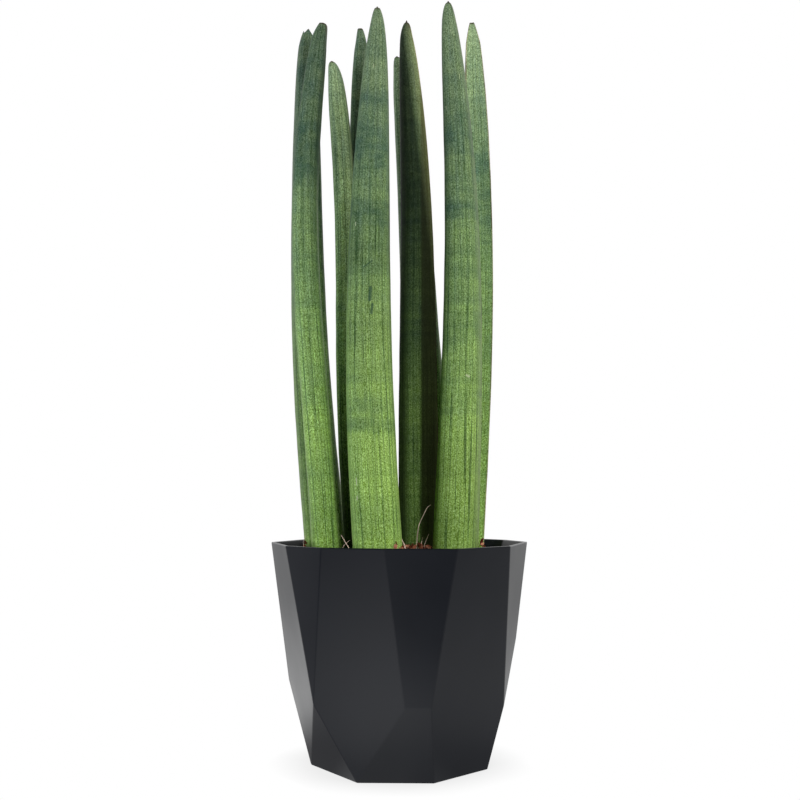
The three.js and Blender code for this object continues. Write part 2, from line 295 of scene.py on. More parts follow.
def shaped_tip(leaf, point):
    """Narrows the last of a tip, leans it over, and lowers what stands above its points' slopes."""
    top = Vector(leaf["tip"])
    nearness = clamped(1 - (top.z - point.z) / TIP_LENGTH)
    moved = point.copy()
    moved.x -= (point.x - top.x) * leaf.get("slim", 0) * nearness
    moved.x += leaf.get("lean", 0) * nearness ** 2
    slopes = []
    for right, drop, left_slope, right_slope in leaf.get("points", []):
        away = moved.x - top.x - right
        slopes.append(top.z - drop - max(away * right_slope, -away * left_slope))
    if slopes:
        moved.z = min(moved.z, max(slopes))
    return moved


def end_blade(bm, leaf, dry_layer):
    """Cuts a blunt blade's end off, and marks what has dried at either kind of end."""
    kind, first, _ = leaf["end"]
    top = Vector(leaf["tip"])
    upwards = Vector((0, 0, 1))
    dry_depth = DRY_DEPTH
    if kind == "cut":
        slope = math.radians(first)
        upwards = Vector((math.sin(slope), 0, math.cos(slope)))
        top.z -= CUT_BELOW
        bmesh.ops.bisect_plane(
            bm, geom=[*bm.verts, *bm.edges, *bm.faces], dist=MERGE_DISTANCE * MM / 10,
            plane_co=top * MM, plane_no=upwards, clear_outer=True)
    else:
        dry_depth += DRY_POINT_SHARE * first
    for vert in bm.verts:
        below = (top * MM - vert.co).dot(upwards) / MM
        vert[dry_layer] = 1 - clamped(below / dry_depth) ** 2


# ------------------------------------------------------------------ small helpers
MOST_NOISE = {1: 0.3, 2: 0.7}  # From Min and From Max of a Map Range, round most of a noise


def linear(hex_code):
    """A display colour, such as #8bad5c, as the linear values that shaders take."""
    shares = [int(hex_code[i:i + 2], 16) / 255 for i in (1, 3, 5)]
    return (*(s / 12.92 if s <= 0.04045 else ((s + 0.055) / 1.055) ** 2.4 for s in shares), 1)


def add(tree, kind, links=None, stops=None, out=None, **settings):
    """Adds a node with its settings, and returns the output named out, or else its first one in
    use. links gives each input a value, a display colour or another node's output."""
    node = tree.nodes.new("ShaderNode" + kind)
    for name, value in settings.items():
        setattr(node, name, value)
    for key, source in (links or {}).items():
        if isinstance(source, bpy.types.NodeSocket):
            tree.links.new(source, node.inputs[key])
        else:
            node.inputs[key].default_value = linear(source) if isinstance(source, str) else source
    for index, (place, value) in enumerate(stops or []):
        ramp = node.color_ramp
        stop = ramp.elements[index] if index < 2 else ramp.elements.new(place)
        stop.position = place
        stop.color = linear(value) if isinstance(value, str) else (value, value, value, 1)
    if out is not None:
        return node.outputs[out]
    return next((socket for socket in node.outputs if socket.enabled), None)


def new_material(name):
    """An empty material and its tree."""
    material = bpy.data.materials.new(name)
    material.use_nodes = True
    material.node_tree.nodes.clear()
    return material, material.node_tree


def piece(name, bm, material, smooth=None):
    """A mesh object at the origin, made from a bmesh that is already in place. smooth shades
    every face smooth or flat, and without it each face stays as it is."""
    mesh = bpy.data.meshes.new(name)
    if smooth is not None:
        for face in bm.faces:
            face.smooth = smooth
    bm.to_mesh(mesh)
    bm.free()
    obj = bpy.data.objects.new(name, mesh)
    bpy.context.scene.collection.objects.link(obj)
    mesh.materials.append(material)
    return obj


# ------------------------------------------------------------------ leaf skin
LINE_PITCH = 5.2  # millimetres between the strong lengthwise lines
LINE_WIDTH = 0.5  # half of it
LINE_COVER = 0.75
FAINT_PITCH = 2.6
FAINT_WIDTH = 0.4
FAINT_COVER = 0.4
CELL_SIZE = 0.72  # of the mottle
STREAK_WIDTH = 1.1
FIBRE_WIDTH = 1.8  # of those that shift the bands
RAGGEDNESS = 3  # how far they shift them up and down
FINE_BAND = 6.5  # from one fine cross band to the next
FINE_STRENGTH = 0.16
BLOTCH_SIZE = 9  # of stronger and weaker places in the bands
BLOOM_WIDTH = 3.5
WORN_WIDTH = 3  # of what is worn off the margin
MARK_COLOURS = {"scar": "#35513f", "fleck": "#b9c4a0"}
MARK_COVER = 0.8
EDGE_COVER = 0.8
SHADE_EDGE_SLOPE = 0.12  # how far the edge of the painted shade runs to the left as it rises
SHADE_EDGE = (64.0, 74.5)  # from painted shade to painted light, where that edge would be at height 0
LIT_STRIPE_LEFT = (2.5, 6.5)  # where the painted lit stripe starts and ends, to the right of the pot's axis
LIT_STRIPE_RIGHT = (13.5, 15.2)
LIT_STRIPE_FADE = (250.0, 400.0)  # heights above the floor
# where the painted brownish shadow of the front right leaf starts, to the right of the pot's axis
CAST_SHADOW_EDGE = (14.0, 15.5)


def patches(tree, place, size, stretch=(1, 1, 1), detail=2.0, roughness=0.5):
    """A noise whose patches are this large in the units of place, and longer along an axis where
    stretch is less than 1."""
    drawn_out = add(tree, "Mapping", {"Vector": place, "Scale": stretch})
    return add(tree, "TexNoise", {
        "Vector": drawn_out, "Scale": 1 / size, "Detail": detail, "Roughness": roughness})


def line_strength(tree, blade, pitch, half_width, seed):
    """Thin lengthwise lines. They wander a little, and come and go along the leaf."""
    around = add(tree, "SeparateXYZ", {0: blade}, out="X")
    moved = add(tree, "VectorMath", {0: blade, 1: (seed, 0, 0)}, operation="ADD")
    wander = patches(tree, moved, pitch * 0.8, stretch=(1, 1, 0.02))
    shift = add(tree, "Math", {0: wander, 1: pitch * 1.5, 2: seed}, operation="MULTIPLY_ADD")
    shifted = add(tree, "Math", {0: around, 1: shift}, operation="ADD")
    in_pitches = add(tree, "Math", {0: shifted, 1: pitch}, operation="DIVIDE")
    off_line = add(tree, "Math", {0: in_pitches, 1: 0.5}, operation="PINGPONG")
    away = add(tree, "Math", {0: off_line, 1: pitch}, operation="MULTIPLY")
    line = add(tree, "MapRange", {0: away, 1: half_width * 0.3, 2: half_width, 3: 1.0, 4: 0.0})
    comes_and_goes = patches(tree, moved, 2.2, stretch=(1, 1, 0.05))
    life = add(tree, "MapRange", {0: comes_and_goes, 1: 0.3, 2: 0.55, 3: 0.35, 4: 1.0})
    return add(tree, "Math", {0: line, 1: life}, operation="MULTIPLY")


def mark_strength(tree, blade, start, end, radius):
    """A soft-edged stroke on the back of the leaf."""
    flat = add(tree, "VectorMath", {0: blade, 1: (1, 0, 1)}, operation="MULTIPLY")
    start, end = Vector((start[0], 0, start[1])), Vector((end[0], 0, end[1]))
    along = end - start
    step = along / along.length_squared
    from_start = add(tree, "VectorMath", {0: flat, 1: start}, operation="SUBTRACT")
    passed = add(tree, "VectorMath", {0: from_start, 1: step}, operation="DOT_PRODUCT")
    share = add(tree, "MapRange", {0: passed, 1: 0.0, 2: 1.0})
    reached = add(tree, "VectorMath", {0: along, "Scale": share}, operation="SCALE")
    away = add(tree, "VectorMath", {0: from_start, 1: reached}, operation="DISTANCE")
    ragged = add(tree, "Math", {0: patches(tree, blade, 0.8), 1: radius}, operation="MULTIPLY")
    reach = add(tree, "Math", {0: away, 1: ragged}, operation="ADD")
    spot = add(tree, "MapRange", {0: reach, 1: radius, 2: radius * 1.5, 3: 1.0, 4: 0.0})
    depth = add(tree, "SeparateXYZ", {0: blade}, out="Y")
    on_back = add(tree, "Math", {0: depth, 1: 0.0}, operation="LESS_THAN")
    return add(tree, "Math", {0: spot, 1: on_back}, operation="MULTIPLY")


def darkened_sides(tree, place, colour):
    """Paints light and shade on the centre leaf. Its left is painted dark, as the shade of the leaves
    in front. Its right side is painted paler near the tip, up to a line that runs out to the margin,
    and lower down so is a lit stripe, where light comes between the front leaves. Right of that
    stripe the skin is painted brownish, as the shadow of the front right leaf."""
    at = add(tree, "VectorMath", {0: place, "Scale": 1 / MM}, operation="SCALE")
    right = add(tree, "SeparateXYZ", {0: at}, out="X")
    up = add(tree, "SeparateXYZ", {0: at}, out="Z")
    slanted = add(tree, "Math", {0: up, 1: SHADE_EDGE_SLOPE, 2: right}, operation="MULTIPLY_ADD")
    side = add(tree, "MapRange", {0: slanted, 1: SHADE_EDGE[0], 2: SHADE_EDGE[1]})
    lit_stripe_start = add(tree, "MapRange", {0: right, 1: LIT_STRIPE_LEFT[0], 2: LIT_STRIPE_LEFT[1]})
    lit_stripe_end = add(tree, "MapRange", {0: right, 1: LIT_STRIPE_RIGHT[0], 2: LIT_STRIPE_RIGHT[1], 3: 1.0, 4: 0.0})
    low_down = add(tree, "MapRange", {0: up, 1: LIT_STRIPE_FADE[0], 2: LIT_STRIPE_FADE[1], 3: 1.0, 4: 0.0})
    lit_stripe = add(tree, "Math", {0: lit_stripe_start, 1: lit_stripe_end}, operation="MULTIPLY")
    lit_stripe = add(tree, "Math", {0: lit_stripe, 1: low_down}, operation="MULTIPLY")
    # Painted olive light on the lit right side near the tip.
    lit_olive = add(tree, "Math", {0: side, 1: 0.25}, operation="MULTIPLY")
    colour = add(tree, "Mix", {0: lit_olive, "A": colour, "B": "#98883f"}, data_type="RGBA")
    # Painted brownish shadow of the front right leaf, right of the lit stripe.
    margin = add(tree, "MapRange", {
        0: right, 1: CAST_SHADOW_EDGE[0], 2: CAST_SHADOW_EDGE[1], 3: 0.0, 4: 0.6})
    colour = add(tree, "Mix", {0: margin, "A": colour, "B": "#4b4930"}, data_type="RGBA")
    # How light the skin is here is painted: dark in shade, lighter on the lit side and on the lit stripe.
    light = add(tree, "Math", {0: side, 1: 1.4, 2: 0.2}, operation="MULTIPLY_ADD")
    light = add(tree, "Math", {0: lit_stripe, 1: 0.3, 2: light}, operation="MULTIPLY_ADD")
    return add(tree, "HueSaturation", {"Color": colour, "Value": light})


def banded_ground(tree, leaf, blade, place, share):
    """Yellow-green at the foot to grey-green at the tip, with dusty blue-green cross bands."""
    height = grown_height(leaf)
    ground = add(tree, "ValToRGB", {0: share}, stops=[
        (0.0, "#84a84f"), (0.25, "#8aad57"), (0.5, "#7c9b5a"), (0.75, "#768e60"), (1.0, "#82976f")])

    # Each fibre shifts the bands up or down, which gives them their ragged edges.
    ragged = patches(tree, blade, FIBRE_WIDTH, stretch=(1, 1, 0.05), detail=3.0, roughness=0.6)
    shift = add(tree, "MapRange", {
        0: ragged, **MOST_NOISE, 3: -RAGGEDNESS / height, 4: RAGGEDNESS / height})
    shifted = add(tree, "Math", {0: share, 1: shift}, operation="ADD")
    stops = [(clamped(h / height), strength) for h, strength in leaf["bands"]]
    bands = add(tree, "ValToRGB", {0: shifted}, stops=stops)
    blotches = add(tree, "MapRange", {
        0: patches(tree, place, BLOTCH_SIZE * MM), **MOST_NOISE, 3: 0.55, 4: 1.15})
    fine = patches(tree, blade, FINE_BAND, stretch=(0.07, 0.07, 1), detail=1.0)
    fine = add(tree, "MapRange", {0: fine, **MOST_NOISE, 3: -FINE_STRENGTH, 4: FINE_STRENGTH})
    band = add(tree, "Math", {0: bands, 1: blotches, 2: fine}, operation="MULTIPLY_ADD")
    band = add(tree, "MapRange", {0: band, 1: 0.0, 2: 1.0})
    dark = add(tree, "Mix", {0: share, "A": "#4b6a3f", "B": "#435c50"}, data_type="RGBA")
    colour = add(tree, "Mix", {0: band, "A": ground, "B": dark}, data_type="RGBA")

    # A grey bloom, more of it towards the tip.
    bloom = patches(tree, blade, BLOOM_WIDTH, stretch=(1, 1, 0.12))
    bloom = add(tree, "MapRange", {0: bloom, 1: 0.45, 2: 0.7, 3: 0.0, 4: 0.45})
    bloom = add(tree, "Math", {0: bloom, 1: share}, operation="MULTIPLY")
    return add(tree, "Mix", {0: bloom, "A": colour, "B": "#5f776c"}, data_type="RGBA")


def hard_margin(tree, leaf, blade, colour):
    """A thin margin on each lip, pale or reddish and worn off in places. On some leaves the right
    lip is painted darker, partly its own brown and partly painted shade.
    """
    lip = add(tree, "Attribute", attribute_name="lip", out="Fac")
    worn = patches(tree, blade, WORN_WIDTH, stretch=(1, 1, 0.1))
    worn = add(tree, "MapRange", {0: worn, **MOST_NOISE, 3: 0.4, 4: 0.9})
    red = patches(tree, blade, 3 * WORN_WIDTH, stretch=(1, 1, 0.3))
    red = add(tree, "MapRange", {0: red, 1: 0.45, 2: 0.6})
    margin = add(tree, "Mix", {0: red, "A": "#9c9878", "B": "#664a37"}, data_type="RGBA")
    # The right lip is partly its own brown and partly painted shade.
    if "brown_and_shaded_lip" in leaf:
        right = add(tree, "SeparateXYZ", {0: blade}, out="X")
        on_right = add(tree, "MapRange", {0: right, 1: 0.0, 2: 1.0})
        margin = add(tree, "Mix", {
            0: on_right, "A": margin, "B": leaf["brown_and_shaded_lip"]}, data_type="RGBA")
    cover = add(tree, "Math", {0: lip, 1: worn}, operation="MULTIPLY")
    return add(tree, "Mix", {0: cover, "A": colour, "B": margin}, data_type="RGBA")


def leaf_skin(leaf):
    """Waxy skin of a living leaf over pale fibres: low gloss, mottled green, thin dark lines along
    the fibres, dusty blue-green cross bands, a pale hard margin and brown where it has dried. Light
    and shade are also painted into it, along each leaf and on the centre leaf's sides."""
    material, tree = new_material("waxy_leaf_skin_" + leaf["name"])
    height = grown_height(leaf)
    blade = add(tree, "Attribute", attribute_name="blade", out="Vector")
    place = add(tree, "TexCoord", out="Object")
    along = add(tree, "SeparateXYZ", {0: blade}, out="Z")
    share = add(tree, "Math", {0: along, 1: height}, operation="DIVIDE")
    colour = banded_ground(tree, leaf, blade, place, share)

    # Dark lengthwise lines, strong ones and fainter ones between them.
    strong = line_strength(tree, blade, LINE_PITCH, LINE_WIDTH, leaf["foot"][0])
    faint = line_strength(tree, blade, FAINT_PITCH, FAINT_WIDTH, leaf["foot"][1] + 50)
    for line, most, dark in ((strong, LINE_COVER, "#2b4a27"), (faint, FAINT_COVER, "#33552d")):
        cover = add(tree, "Math", {0: line, 1: most}, operation="MULTIPLY")
        colour = add(tree, "Mix", {0: cover, "A": colour, "B": dark}, data_type="RGBA")
    colour = hard_margin(tree, leaf, blade, colour)

    # Streaks along the fibres, and cells of the skin under a millimetre across. The pale cells are
    # also greyer. The ramp holds half of each tone, because it stops at 1. The tones are partly the
    # skin's own and partly painted light and shade.
    streaks = patches(tree, blade, STREAK_WIDTH, stretch=(1, 1, 0.04))
    mottle = patches(tree, place, CELL_SIZE * MM, stretch=(1, 1, 0.75), roughness=0.7)
    tones_and_shade = [(clamped(h / height), tone / 2) for h, tone in leaf["tones_and_shade"]]
    light = add(tree, "ValToRGB", {0: share}, stops=tones_and_shade)
    for pattern, low, high in ((streaks, 1.6, 2.4), (mottle, 0.3, 1.7)):
        factor = add(tree, "MapRange", {0: pattern, **MOST_NOISE, 3: low, 4: high})
        light = add(tree, "Math", {0: light, 1: factor}, operation="MULTIPLY")
    pallor = add(tree, "MapRange", {0: mottle, **MOST_NOISE, 3: 1.2, 4: 0.78})
    colour = add(tree, "HueSaturation", {"Color": colour, "Saturation": pallor, "Value": light})
    # The centre leaf gets painted light and shade on its sides.
    if "sides" in leaf:
        colour = darkened_sides(tree, place, colour)
    for kind, start, end, radius in leaf.get("marks", []):
        spot = mark_strength(tree, blade, start, end, radius)
        cover = add(tree, "Math", {0: spot, 1: MARK_COVER}, operation="MULTIPLY")
        colour = add(tree, "Mix", {
            0: cover, "A": colour, "B": MARK_COLOURS[kind]}, data_type="RGBA")

    # Brown where the blade has dried: its outline near the tip, and the end itself.
    edge = add(tree, "Attribute", attribute_name="edge", out="Fac")
    edge = add(tree, "Math", {0: edge, 1: EDGE_COVER}, operation="MULTIPLY")
    colour = add(tree, "Mix", {0: edge, "A": colour, "B": "#40372c"}, data_type="RGBA")
    dry = add(tree, "Attribute", attribute_name="dry", out="Fac")
    colour = add(tree, "Mix", {0: dry, "A": colour, "B": "#43372d"}, data_type="RGBA")

    relief = add(tree, "Math", {0: mottle, 1: strong}, operation="SUBTRACT")
    bump = add(tree, "Bump", {"Strength": 0.3, "Distance": 0.15 * MM, "Height": relief})
    shader = add(tree, "BsdfPrincipled", {
        "Base Color": colour, "Roughness": 0.55, "Specular IOR Level": 0.22, "Normal": bump})
    add(tree, "OutputMaterial", {"Surface": shader})
    return material


for leaf in LEAVES:
    blade = piece(leaf["name"] + "_blade", grow_blade(leaf), leaf_skin(leaf), smooth=True)
    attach(blade, "root")
    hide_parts(leaf["name"])


# ------------------------------------------------------------------ the pot
EDGE_RADIUS = 0.8  # of the moulded edges between panels
SHARP = math.radians(2.5)  # the least turn between two panels
FLAT = math.radians(0.3)  # the most between two faces of one panel
ETCHED_GRAIN = 0.5  # coarser than a real tool's 0.1, so that it shows
FLOW_SIZE = 45  # of slow changes in the plastic


def pot_plastic():
    """Satin anthracite polypropylene, injection moulded against a finely etched tool: an even dark
    grey that turns pale where light grazes it."""
    material, tree = new_material("satin_moulded_polypropylene")
    place = add(tree, "TexCoord", out="Object")
    grain = patches(tree, place, ETCHED_GRAIN * MM)
    flow = patches(tree, place, FLOW_SIZE * MM)
    shade = add(tree, "MapRange", {0: flow, 1: 0.35, 2: 0.65})
    colour = add(tree, "Mix", {0: shade, "A": "#14171d", "B": "#171a20"}, data_type="RGBA")
    roughness = add(tree, "MapRange", {0: flow, **MOST_NOISE, 3: 0.3, 4: 0.34})
    bump = add(tree, "Bump", {"Strength": 0.1, "Distance": 0.05 * MM, "Height": grain})
    shader = add(tree, "BsdfPrincipled", {
        "Base Color": colour, "Roughness": roughness, "IOR": 1.52, "Normal": bump})
    add(tree, "OutputMaterial", {"Surface": shader})
    return material


def moulded_pot():
    """The CAD pot with its panels made whole and every edge between them rounded."""
    bm = bmesh.new()
    bm.from_mesh(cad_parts["pot"].data)
    bmesh.ops.remove_doubles(bm, verts=bm.verts, dist=MERGE_DISTANCE * MM)
    bmesh.ops.dissolve_limit(
        bm, angle_limit=FLAT, verts=bm.verts, edges=bm.edges, delimit=set())
    edges = [edge for edge in bm.edges if edge.calc_face_angle(0) > SHARP]
    bmesh.ops.bevel(
        bm, geom=edges, offset=EDGE_RADIUS * MM, offset_type="OFFSET", segments=3, profile=0.5,
        affect="EDGES", clamp_overlap=True, material=-1)
    return bm


def keep_panels_flat(mesh):
    """Gives each corner the direction of the largest face there, so panels look flat right up to
    the rounded edges, which turn from one panel to the next."""
    normals = [Vector() for _ in mesh.vertices]
    for face in mesh.polygons:
        for index in face.vertices:
            normals[index] += face.normal * face.area
    mesh.normals_split_custom_set_from_vertices([normal.normalized() for normal in normals])


pot = piece("gem_cut_pot", moulded_pot(), pot_plastic(), smooth=True)
keep_panels_flat(pot.data)
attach(pot, "root")
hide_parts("pot")


# ------------------------------------------------------------------ the growing medium
CHIP_COUNT = 2600
CHIP_LENGTH = (0.7, 2.2)  # half of it, least and most, as the next two are
CHIP_WIDTH = (0.6, 1.2)
CHIP_SCALE = (0.6, 1.5)
CHIP_THICKNESS = 0.5
CHIP_DENT = 0.25  # how far each corner is off
CHIP_LIFT = (-0.4, 0.6)  # of its middle above the bed
HEAP_REACH = 84  # millimetres from the pot's axis within which chips are strewn
LOWEST_CHIP = 134  # lower than this is inside a leaf's pocket
CLUMPS = [  # heaped against the leaves: [middle, spread, height, chips]
    ((11, -24), (9, 5), 4.5, 160),
    ((-1.5, -59), (4, 1.6), 13, 90),
    ((-64.5, -24), (1.8, 2.5), 15, 80),
    ((56.5, -14), (1.3, 2), 14, 60),
    ((-37, -55), (5, 4), 4, 40),
]
FIBRE_COUNT = 240
FIBRE_REACH = HEAP_REACH - 8
FIBRE_POINTS = 7
FIBRE_STEP = (1.2, 2.4)  # between two points, least and most
FIBRE_BEND = 0.5  # radians that it may turn at each point
FIBRE_RISE = (0.4, 2.2)  # of its middle
FIBRE_LIFT = 0.3
FIBRE_RADIUS = (0.12, 0.24)
STRAND_SIDES = 3
STRAND_TAPER = 0.6  # how much of its radius a strand loses
LOOSE_FIBRES = [  # the ones that stick up: [radius, points that each goes through]
    (0.5, [(10.5, -24, 146), (11.9, -24, 161), (14, -23, 167.8), (18.2, -22, 176), (20.9, -21, 178)]),
    (0.3, [(15, -26, 146), (17, -25, 153), (19.4, -24, 158.3)]),
    (0.25, [(11, -27, 147), (14, -26, 152), (15, -25, 156)]),
    (0.35, [(-31, -60, 145), (-34.5, -61, 152), (-38.9, -60, 159)]),
    (0.22, [(-40, -61, 146), (-37, -61, 152), (-33, -60, 155.8)]),
    (0.2, [(-64, -30, 143), (-66, -31, 152), (-64, -32, 158)]),
    (0.25, [(3, -38, 149), (0.6, -38.5, 156), (-0.6, -39, 160)]),
    (0.3, [(3.6, -37, 147), (2.6, -38, 152), (0.2, -38.5, 155.5)]),
]
LOOSE_STEPS = 14
HUSK_GRAIN = 1.2


def coconut_fibre(name, dark, middle, pale):
    """Loose coconut fibre and husk crumbs: dull reddish brown and grainy, each crumb and each strand
    a little different from the next."""
    material, tree = new_material(name)
    place = add(tree, "TexCoord", out="Object")
    own = add(tree, "Attribute", attribute_name="own", out="Fac")
    grain = patches(tree, place, HUSK_GRAIN * MM, detail=4.0, roughness=0.7)
    grainy = add(tree, "Math", {0: grain, 1: 0.5}, operation="MULTIPLY")
    tone = add(tree, "Math", {0: own, 1: 0.6, 2: grainy}, operation="MULTIPLY_ADD")
    colour = add(tree, "ValToRGB", {0: tone}, stops=[(0.2, dark), (0.5, middle), (0.85, pale)])
    bump = add(tree, "Bump", {"Strength": 0.6, "Distance": 0.4 * MM, "Height": grain})
    shader = add(tree, "BsdfPrincipled", {
        "Base Color": colour, "Roughness": 0.95, "Normal": bump})
    add(tree, "OutputMaterial", {"Surface": shader})
    return material


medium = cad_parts["growing_medium"]
medium.data.materials.clear()
medium.data.materials.append(
    coconut_fibre("coconut_fibre_bed", dark="#140c08", middle="#2e1a11", pale="#5a3a29"))


def heap_height():
    """Returns a function that gives the medium's height at a place, or None inside a pocket."""
    bm = bmesh.new()
    bm.from_mesh(medium.data)
    tree = BVHTree.FromBMesh(bm)
    bm.free()

    def height_at(x, y):
        hit = tree.ray_cast(Vector((x, y, 200)) * MM, Vector((0, 0, -1)))[0]
        return hit.z / MM if hit is not None and hit.z > LOWEST_CHIP * MM else None

    return height_at


def chip_places(dice, height_at):
    """Where chips lie: over the whole heap, and then in the clumps."""
    places = []
    while len(places) < CHIP_COUNT:
        reach = HEAP_REACH * math.sqrt(dice.random())
        angle = dice.uniform(0, 2 * math.pi)
        x, y = reach * math.cos(angle), reach * math.sin(angle)
        ground = height_at(x, y)
        if ground is not None:
            places.append(Vector((x, y, ground + dice.uniform(*CHIP_LIFT))))
    for middle, spread, height, chips in CLUMPS:
        for _ in range(chips):
            out_x, out_y = dice.gauss(0, 1), dice.gauss(0, 1)
            x, y = middle[0] + out_x * spread[0], middle[1] + out_y * spread[1]
            ground = height_at(x, y)
            if ground is not None:
                top = height * math.exp(-(out_x ** 2 + out_y ** 2) / 2)
                places.append(Vector((x, y, ground + dice.uniform(0, 1) * top)))
    return places


def strewn_chips(dice, height_at):
    """Crumbs of husk over the whole heap, and clumps of them against the leaves."""
    bm = bmesh.new()
    own = bm.verts.layers.float.new("own")
    for place in chip_places(dice, height_at):
        turn = Euler([dice.uniform(0, 2 * math.pi) for _ in range(3)]).to_matrix()
        stretch = Matrix.Diagonal(
            (dice.uniform(*CHIP_LENGTH), dice.uniform(*CHIP_WIDTH), CHIP_THICKNESS))
        shape = turn @ stretch * dice.uniform(*CHIP_SCALE)
        tone = dice.random()
        crumb = bmesh.ops.create_icosphere(
            bm, subdivisions=1, radius=1, matrix=shape.to_4x4())
        for vert in crumb["verts"]:
            dent = Vector([dice.uniform(-CHIP_DENT, CHIP_DENT) for _ in range(3)])
            vert.co = (place + vert.co + dent) * MM
            vert[own] = tone
    return bm


def add_strand(bm, own, points, radius, tone):
    """A thin strand drawn out through some points, from a small face at the first. Its foot is
    left open."""
    end = bm.faces.new([bm.verts.new() for _ in range(STRAND_SIDES)])
    for index, point in enumerate(points):
        if index > 0:
            end = bmesh.ops.extrude_discrete_faces(bm, faces=[end])["faces"][0]
        ahead = points[min(index + 1, len(points) - 1)] - points[max(index - 1, 0)]
        side = ahead.cross(Vector((0.3, 0.2, 1))).normalized()
        other = ahead.cross(side).normalized()
        here = radius * (1 - STRAND_TAPER * index / (len(points) - 1))
        for corner, vert in enumerate(end.verts):
            turn = 2 * math.pi * corner / STRAND_SIDES
            offset = side * math.cos(turn) + other * math.sin(turn)
            vert.co = (point + offset * here) * MM
            vert[own] = tone


def smooth_path(points, steps):
    """More points along the curve through the given ones."""
    path = []
    last = len(points) - 1
    for step in range(steps + 1):
        place = step / steps * last
        index = min(int(place), last - 1)
        t = place - index
        a, b, c, d = (points[min(max(index + k, 0), last)] for k in (-1, 0, 1, 2))
        path.append(0.5 * (2 * b + (c - a) * t + (2 * a - 5 * b + 4 * c - d) * t ** 2
                           + (3 * b - a - 3 * c + d) * t ** 3))
    return path


def lying_path(dice, height_at):
    """Points that a strand goes through on the heap. They stop short where it meets a pocket."""
    reach = FIBRE_REACH * math.sqrt(dice.random())
    angle = dice.uniform(0, 2 * math.pi)
    heading = dice.uniform(0, 2 * math.pi)
    at = Vector((reach * math.cos(angle), reach * math.sin(angle), 0))
    rise = dice.uniform(*FIBRE_RISE)
    points = []
    for step in range(FIBRE_POINTS):
        ground = height_at(at.x, at.y)
        if ground is None:
            break
        lift = rise * math.sin(math.pi * step / (FIBRE_POINTS - 1)) + FIBRE_LIFT
        points.append(Vector((at.x, at.y, ground + lift)))
        heading += dice.uniform(-FIBRE_BEND, FIBRE_BEND)
        at += Vector((math.cos(heading), math.sin(heading), 0)) * dice.uniform(*FIBRE_STEP)
    return points


def loose_fibres(dice, height_at):
    """Strands of fibre lying on the heap, and a few that stick up past the rim."""
    bm = bmesh.new()
    own = bm.verts.layers.float.new("own")
    made = 0
    while made < FIBRE_COUNT:
        points = lying_path(dice, height_at)
        if len(points) > FIBRE_POINTS // 2:
            add_strand(bm, own, points, dice.uniform(*FIBRE_RADIUS), dice.random())
            made += 1
    for radius, points in LOOSE_FIBRES:
        path = smooth_path([Vector(point) for point in points], LOOSE_STEPS)
        add_strand(bm, own, path, radius, 1.0)
    close_ends(bm)
    return bm


dice = random.Random(7)
height_at = heap_height()
chips = piece("coir_chips", strewn_chips(dice, height_at), coconut_fibre(
    "coconut_husk_chips", dark="#26120b", middle="#6c3625", pale="#b87f66"), smooth=False)
fibres = piece("coir_fibres", loose_fibres(dice, height_at), coconut_fibre(
    "coconut_husk_fibres", dark="#4a2f20", middle="#8f6c55", pale="#dcc6b4"), smooth=True)
for loose in (chips, fibres):
    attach(loose, "root")


# ------------------------------------------------------------------ studio
FRAME_PIXELS = 800
FOCAL_PIXELS = 1118
SENSOR_MM = 36
CAMERA_PLACE = (-0.0004, -0.794, 0.187)
CAMERA_LIFT = 4.7  # degrees that the camera looks up
LAMP_AIM = (0, 0, 0.27)
AMBIENT = 0.02  # what the room gives from every side
FLOOR_REACH = 4
SHADOW_REACH = 0.03  # how far out the contact shadow goes
SHADOW_SHADE = 0.84  # how light the floor is in it
LAMPS = [
    # Azimuth 0 is in front and 90 to the right, in degrees. The left lamp is cool and the right
    # one warm, and the last lights the backs of the leaves.
    dict(name="left_soft_box", azimuth=-77, height=0.27, distance=1.5, size=(0.9, 0.4), power=15,
         colour=(0.98, 0.99, 1.14)),
    dict(name="right_soft_box", azimuth=59, height=0.55, distance=1.47, size=(0.5, 0.7), power=12,
         colour=(1.06, 0.98, 0.92)),
    dict(name="front_lamp", azimuth=12, height=0.27, distance=1.5, size=(0.1, 0.1), power=4.7),
    dict(name="front_right_lamp", azimuth=22, height=0.27, distance=1.5, size=(0.15, 0.15), power=5),
    dict(name="high_lamp", azimuth=6, height=1.23, distance=1.15, size=(0.3, 0.3), power=2),
    dict(name="rear_soft_box", azimuth=180, height=0.5, distance=1.5, size=(0.6, 0.5), power=16),
]


def set_camera():
    data = bpy.data.cameras.new("camera")
    data.sensor_width = SENSOR_MM
    data.lens = SENSOR_MM * FOCAL_PIXELS / FRAME_PIXELS
    camera = bpy.data.objects.new("camera", data)
    camera.location = CAMERA_PLACE
    camera.rotation_euler = (math.radians(90 + CAMERA_LIFT), 0, 0)
    bpy.context.scene.collection.objects.link(camera)
    bpy.context.scene.camera = camera


def hang_lamp(name, azimuth, height, distance, size, power, colour=(1, 1, 1)):
    """A rectangular lamp that looks at the plant's middle. Nothing mirrors it."""
    data = bpy.data.lights.new(name, "AREA")
    data.shape = "RECTANGLE"
    data.size, data.size_y = size
    data.energy = power
    data.color = colour
    lamp = bpy.data.objects.new(name, data)
    turn = math.radians(azimuth)
    lamp.location = (distance * math.sin(turn), -distance * math.cos(turn), height)
    aim = Vector(LAMP_AIM) - lamp.location
    lamp.rotation_euler = aim.to_track_quat("-Z", "Y").to_euler()
    lamp.visible_glossy = False
    bpy.context.scene.collection.objects.link(lamp)


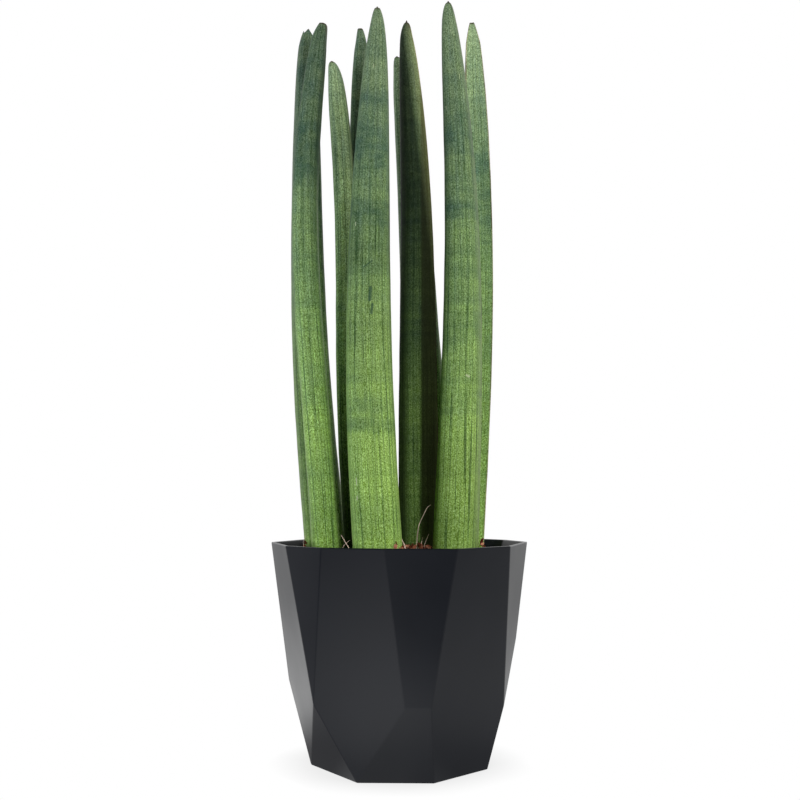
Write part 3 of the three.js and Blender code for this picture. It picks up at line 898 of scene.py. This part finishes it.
def set_world():
    """White to the eye all round. In reflections it is bright only behind the plant, and it gives
    hardly any light of its own."""
    world = bpy.data.worlds.new("studio")
    bpy.context.scene.world = world
    world.use_nodes = True
    tree = world.node_tree
    tree.nodes.clear()
    direction = add(tree, "TexCoord", out="Generated")
    behind = add(tree, "SeparateXYZ", {0: direction}, out="Y")
    wall = add(tree, "MapRange", {0: behind, 1: 0.2, 2: 0.8, 3: 0.04, 4: 0.9})
    mirrored = add(tree, "LightPath", out="Is Glossy Ray")
    seen = add(tree, "LightPath", out="Is Camera Ray")
    strength = add(tree, "Mix", {0: mirrored, 2: AMBIENT, 3: wall}, data_type="FLOAT")
    strength = add(tree, "Mix", {0: seen, 2: strength, 3: 1.0}, data_type="FLOAT")
    light = add(tree, "Background", {"Color": (1, 1, 1, 1), "Strength": strength})
    add(tree, "OutputWorld", {"Surface": light})


def mirrored_floor(tree):
    """How bright the floor is to the pot, which mirrors it: dark close to the foot and far off,
    brightest between, weaker to the right, darkest in a patch in front and bright behind."""
    place = add(tree, "TexCoord", out="Object")
    away = add(tree, "VectorMath", {0: place}, operation="LENGTH")
    thrown = add(tree, "ValToRGB", {0: away}, stops=[
        (0.08, 0.45), (0.125, 0.8), (0.19, 0.95), (0.31, 0.68), (0.45, 0.45), (0.8, 0.1)])
    way = add(tree, "VectorMath", {0: place}, operation="NORMALIZE")
    sideways = add(tree, "SeparateXYZ", {0: way}, out="X")
    from_left = add(tree, "MapRange", {0: sideways, 1: -1.0, 2: 1.0})
    beside = add(tree, "ValToRGB", {0: from_left}, stops=[
        (0.07, 0.45), (0.25, 1.0), (0.5, 1.0), (0.68, 0.7), (0.86, 0.43)])
    in_front = add(tree, "VectorMath", {
        0: place, 1: (1, 0.5, 0), 2: (-0.04, 0.19, 0)}, operation="MULTIPLY_ADD")
    from_patch = add(tree, "VectorMath", {0: in_front}, operation="LENGTH")
    patch = add(tree, "MapRange", {0: from_patch, 1: 0.04, 2: 0.14, 3: 0.05, 4: 1.0})
    back = add(tree, "SeparateXYZ", {0: place}, out="Y")
    behind = add(tree, "MapRange", {0: back, 1: 0.03, 2: 0.13, 3: 0.0, 4: 0.44})
    thrown = add(tree, "Math", {0: thrown, 1: beside}, operation="MULTIPLY")
    return add(tree, "Math", {0: thrown, 1: patch, 2: behind}, operation="MULTIPLY_ADD")


def lay_floor():
    """A white sheet that vanishes into the background apart from a faint contact shadow."""
    material, tree = new_material("white_studio_floor")
    near = add(tree, "AmbientOcclusion", {"Distance": SHADOW_REACH}, out="AO")
    shade = add(tree, "MapRange", {0: near, 1: 0.4, 2: 1.0, 3: SHADOW_SHADE, 4: 1.0})
    seen = add(tree, "LightPath", out="Is Camera Ray")
    strength = add(tree, "Mix", {0: seen, 2: mirrored_floor(tree), 3: shade}, data_type="FLOAT")
    glow = add(tree, "Emission", {"Color": (1, 1, 1, 1), "Strength": strength})
    add(tree, "OutputMaterial", {"Surface": glow})
    bm = bmesh.new()
    bmesh.ops.create_grid(bm, x_segments=1, y_segments=1, size=FLOOR_REACH)
    floor = piece("studio_floor", bm, material)
    floor.visible_diffuse = False


set_camera()
for lamp in LAMPS:
    hang_lamp(**lamp)
set_world()
lay_floor()
bpy.context.scene.view_settings.view_transform = "Standard"
